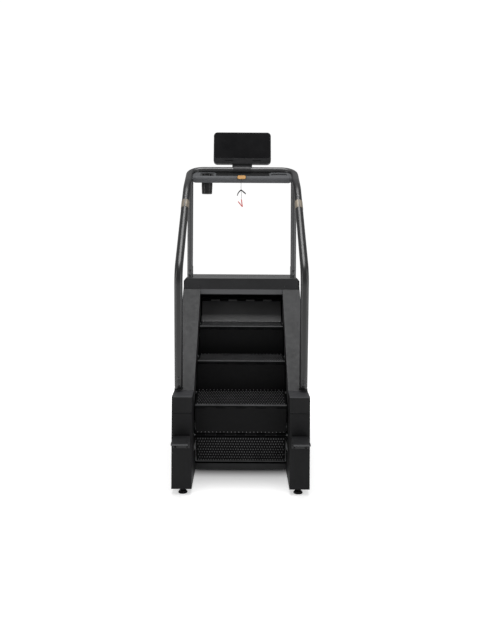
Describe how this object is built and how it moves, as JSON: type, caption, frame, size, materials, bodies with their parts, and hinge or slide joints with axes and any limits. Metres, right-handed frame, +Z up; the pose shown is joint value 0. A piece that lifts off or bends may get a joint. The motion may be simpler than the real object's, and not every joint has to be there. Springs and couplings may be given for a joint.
{
  "type": "stair climber",
  "caption": "Upright gym stair climber: endless hinged steps between sloped stringers, bent tube handrails, a tray with a cup well and a tilted screen.",
  "frame": {"origin": "middle of the footprint on the floor under the feet", "axes": "+X to the right of a person walking up the steps, +Y the way they face, +Z up"},
  "size_m": [0.81, 1.38, 2.2648],
  "materials": {
    "frame_paint": "satin black powder coat",
    "cover_paint": "dark graphite powder coat, fine grain",
    "header_paint": "dark graphite powder coat",
    "block_plastic": "moulded, fine grain",
    "rail_paint": "dark grey metallic powder coat",
    "tread_aluminium": "ribbed, dark anodised",
    "riser_plastic": "smooth black",
    "deck_metal": "perforated, silver grey",
    "steel": "ground",
    "cast": "machined and painted",
    "guide_plastic": "low-friction wear strip",
    "belt_rubber": "ribbed",
    "foot_rubber": "moulded",
    "contact_metal": "brushed contact plate",
    "button_plastic": "smooth",
    "tray_plastic": "moulded, fine grain",
    "cup_plastic": "moulded",
    "key_plastic": "orange",
    "key_base_plastic": "moulded",
    "tether_cord": "braided",
    "tag_fabric": "woven red",
    "screen_plastic": "moulded",
    "screen_glass": "black gloss face",
    "box_plastic": "moulded",
    "motor_paint": "grey paint"
  },
  "bodies": {
    "machine": {"frame": "frame_paint", "chain_guides": "guide_plastic", "bearings": "cast", "drive_belt": "belt_rubber", "generator": "motor_paint", "control_box": "box_plastic", "power_inlet": "box_plastic", "step_chains": "steel", "block_shrouds": "block_plastic", "block_caps": "block_plastic", "stringer_covers": "cover_paint", "side_panels": "cover_paint", "header": "header_paint", "deck": "deck_metal", "rear_cover": "cover_paint", "side_steps": "cover_paint", "handrails": "rail_paint", "console_loop": "rail_paint", "uprights": "rail_paint", "rail_plates": "contact_metal", "tray": "tray_plastic", "key_base": "key_base_plastic", "screen_housing": "screen_plastic", "screen_glass": "screen_glass", "screen_neck": "header_paint", "rail_bolts": "steel", "cover_screws": "steel"},
    "stairs": {"front_treads": "tread_aluminium", "front_risers": "riser_plastic", "front_rods": "steel"},
    "tread_3": {"tread_3": "tread_aluminium"},
    "riser_3": {"riser_3": "riser_plastic"},
    "tread_4": {"tread_4": "tread_aluminium"},
    "riser_4": {"riser_4": "riser_plastic"},
    "lower_wheel": {"lower_shaft": "steel", "lower_wheels": "cast", "lower_rod": "steel"},
    "return_steps": {"return_treads": "tread_aluminium", "return_risers": "riser_plastic", "return_rods": "steel"},
    "tread_7": {"tread_7": "tread_aluminium"},
    "riser_7": {"riser_7": "riser_plastic"},
    "tread_0": {"tread_0": "tread_aluminium"},
    "riser_0": {"riser_0": "riser_plastic"},
    "upper_wheel": {"upper_shaft": "steel", "upper_wheels": "cast", "upper_rod": "steel", "drive_pulley": "cast"},
    "generator_rotor": {"generator_pulley": "steel"},
    "button_left": {"button_left": "button_plastic"},
    "button_right": {"button_right": "button_plastic"},
    "stop_key": {"stop_key": "key_plastic", "tether_cord": "tether_cord", "tether_clip": "key_base_plastic", "tether_tag": "tag_fabric"},
    "cup_holder": {"cup_holder": "cup_plastic"},
    "foot_front_left": {"foot_front_left": "foot_rubber"},
    "foot_front_right": {"foot_front_right": "foot_rubber"},
    "foot_rear_left": {"foot_rear_left": "foot_rubber"},
    "foot_rear_right": {"foot_rear_right": "foot_rubber"}
  },
  "joints": [
    {"name": "stair_travel", "type": "slide", "parent": "machine", "child": "stairs", "axis": [0, -0.7454, -0.6666], "range_m": [-0.016, 0.03]},
    {"name": "tread_3_hinge", "type": "hinge", "parent": "stairs", "child": "tread_3", "pos_m": [0, -0.1677, 0.5135], "axis": [1, 0, 0], "range_deg": [-2.84, 5.16]},
    {"name": "lower_wheel_turn", "type": "hinge", "parent": "machine", "child": "lower_wheel", "pos_m": [0, -0.21388, 0.31762], "axis": [1, 0, 0], "range_deg": [-8.32, 15.42]},
    {"name": "riser_3_hinge", "type": "hinge", "parent": "lower_wheel", "child": "riser_3", "pos_m": [0, -0.32664, 0.29394], "axis": [1, 0, 0], "range_deg": [-6.61, 3.62]},
    {"name": "tread_4_hinge", "type": "hinge", "parent": "lower_wheel", "child": "tread_4", "pos_m": [0, -0.32664, 0.29394], "axis": [1, 0, 0], "range_deg": [-1.23, 0.75]},
    {"name": "return_travel", "type": "slide", "parent": "machine", "child": "return_steps", "axis": [0, 0.7454, 0.6666], "range_m": [-0.017, 0.031]},
    {"name": "riser_4_hinge", "type": "hinge", "parent": "return_steps", "child": "riser_4", "pos_m": [0, -0.10387, 0.26144], "axis": [1, 0, 0], "range_deg": [-5.89, 10.87]},
    {"name": "tread_7_hinge", "type": "hinge", "parent": "return_steps", "child": "tread_7", "pos_m": [0, 0.32213, 0.64244], "axis": [1, 0, 0], "range_deg": [-2.84, 5.16]},
    {"name": "upper_wheel_turn", "type": "hinge", "parent": "machine", "child": "upper_wheel", "pos_m": [0, 0.36832, 0.83832], "axis": [1, 0, 0], "range_deg": [-8.32, 15.42]},
    {"name": "riser_7_hinge", "type": "hinge", "parent": "upper_wheel", "child": "riser_7", "pos_m": [0, 0.48107, 0.862], "axis": [1, 0, 0], "range_deg": [-6.61, 3.62]},
    {"name": "tread_0_hinge", "type": "hinge", "parent": "upper_wheel", "child": "tread_0", "pos_m": [0, 0.48107, 0.862], "axis": [1, 0, 0], "range_deg": [-1.23, 0.75]},
    {"name": "riser_0_hinge", "type": "hinge", "parent": "stairs", "child": "riser_0", "pos_m": [0, 0.2583, 0.8945], "axis": [1, 0, 0], "range_deg": [-5.89, 10.87]},
    {"name": "generator_spin", "type": "hinge", "parent": "machine", "child": "generator_rotor", "pos_m": [0, 0.488, 0.232], "axis": [1, 0, 0], "range_deg": [-32.66, 61.07]},
    {"name": "button_left_press", "type": "slide", "parent": "machine", "child": "button_left", "axis": [0, 0.6618, -0.7497], "range_m": [0, 0.0015], "stiffness_N_per_m": 600, "springref_m": -0.0004},
    {"name": "button_right_press", "type": "slide", "parent": "machine", "child": "button_right", "axis": [0, 0.6618, -0.7497], "range_m": [0, 0.0015], "stiffness_N_per_m": 600, "springref_m": -0.0004},
    {"name": "stop_key_pull", "type": "slide", "parent": "machine", "child": "stop_key", "axis": [0, -1, 0], "range_m": [0, 0.03]},
    {"name": "cup_lift", "type": "slide", "parent": "machine", "child": "cup_holder", "axis": [0, 0, 1], "range_m": [0, 0.13]},
    {"name": "foot_front_left_screw", "type": "hinge", "parent": "machine", "child": "foot_front_left", "pos_m": [-0.34, -0.487, 0.03], "axis": [0, 0, 1], "continuous": true},
    {"name": "foot_front_right_screw", "type": "hinge", "parent": "machine", "child": "foot_front_right", "pos_m": [0.34, -0.487, 0.03], "axis": [0, 0, 1], "continuous": true},
    {"name": "foot_rear_left_screw", "type": "hinge", "parent": "machine", "child": "foot_rear_left", "pos_m": [-0.34, 0.633, 0.03], "axis": [0, 0, 1], "continuous": true},
    {"name": "foot_rear_right_screw", "type": "hinge", "parent": "machine", "child": "foot_rear_right", "pos_m": [0.34, 0.633, 0.03], "axis": [0, 0, 1], "continuous": true}
  ],
  "couplings": [
    {"joint": "tread_3_hinge", "follows": "stair_travel", "rad_per_m": 2.828},
    {"joint": "riser_3_hinge", "follows": "stair_travel", "rad_per_m": -3.6545},
    {"joint": "tread_4_hinge", "follows": "stair_travel", "rad_per_m": -0.5872},
    {"joint": "riser_4_hinge", "follows": "stair_travel", "rad_per_m": 6.0859},
    {"joint": "tread_7_hinge", "follows": "stair_travel", "rad_per_m": 2.828},
    {"joint": "riser_7_hinge", "follows": "stair_travel", "rad_per_m": -3.6545},
    {"joint": "tread_0_hinge", "follows": "stair_travel", "rad_per_m": -0.5872},
    {"joint": "riser_0_hinge", "follows": "stair_travel", "rad_per_m": 6.0859},
    {"joint": "lower_wheel_turn", "follows": "stair_travel", "rad_per_m": 8.6796},
    {"joint": "upper_wheel_turn", "follows": "stair_travel", "rad_per_m": 8.6796},
    {"joint": "return_travel", "follows": "stair_travel", "ratio": 1},
    {"joint": "generator_spin", "follows": "stair_travel", "rad_per_m": 34.718}
  ]
}
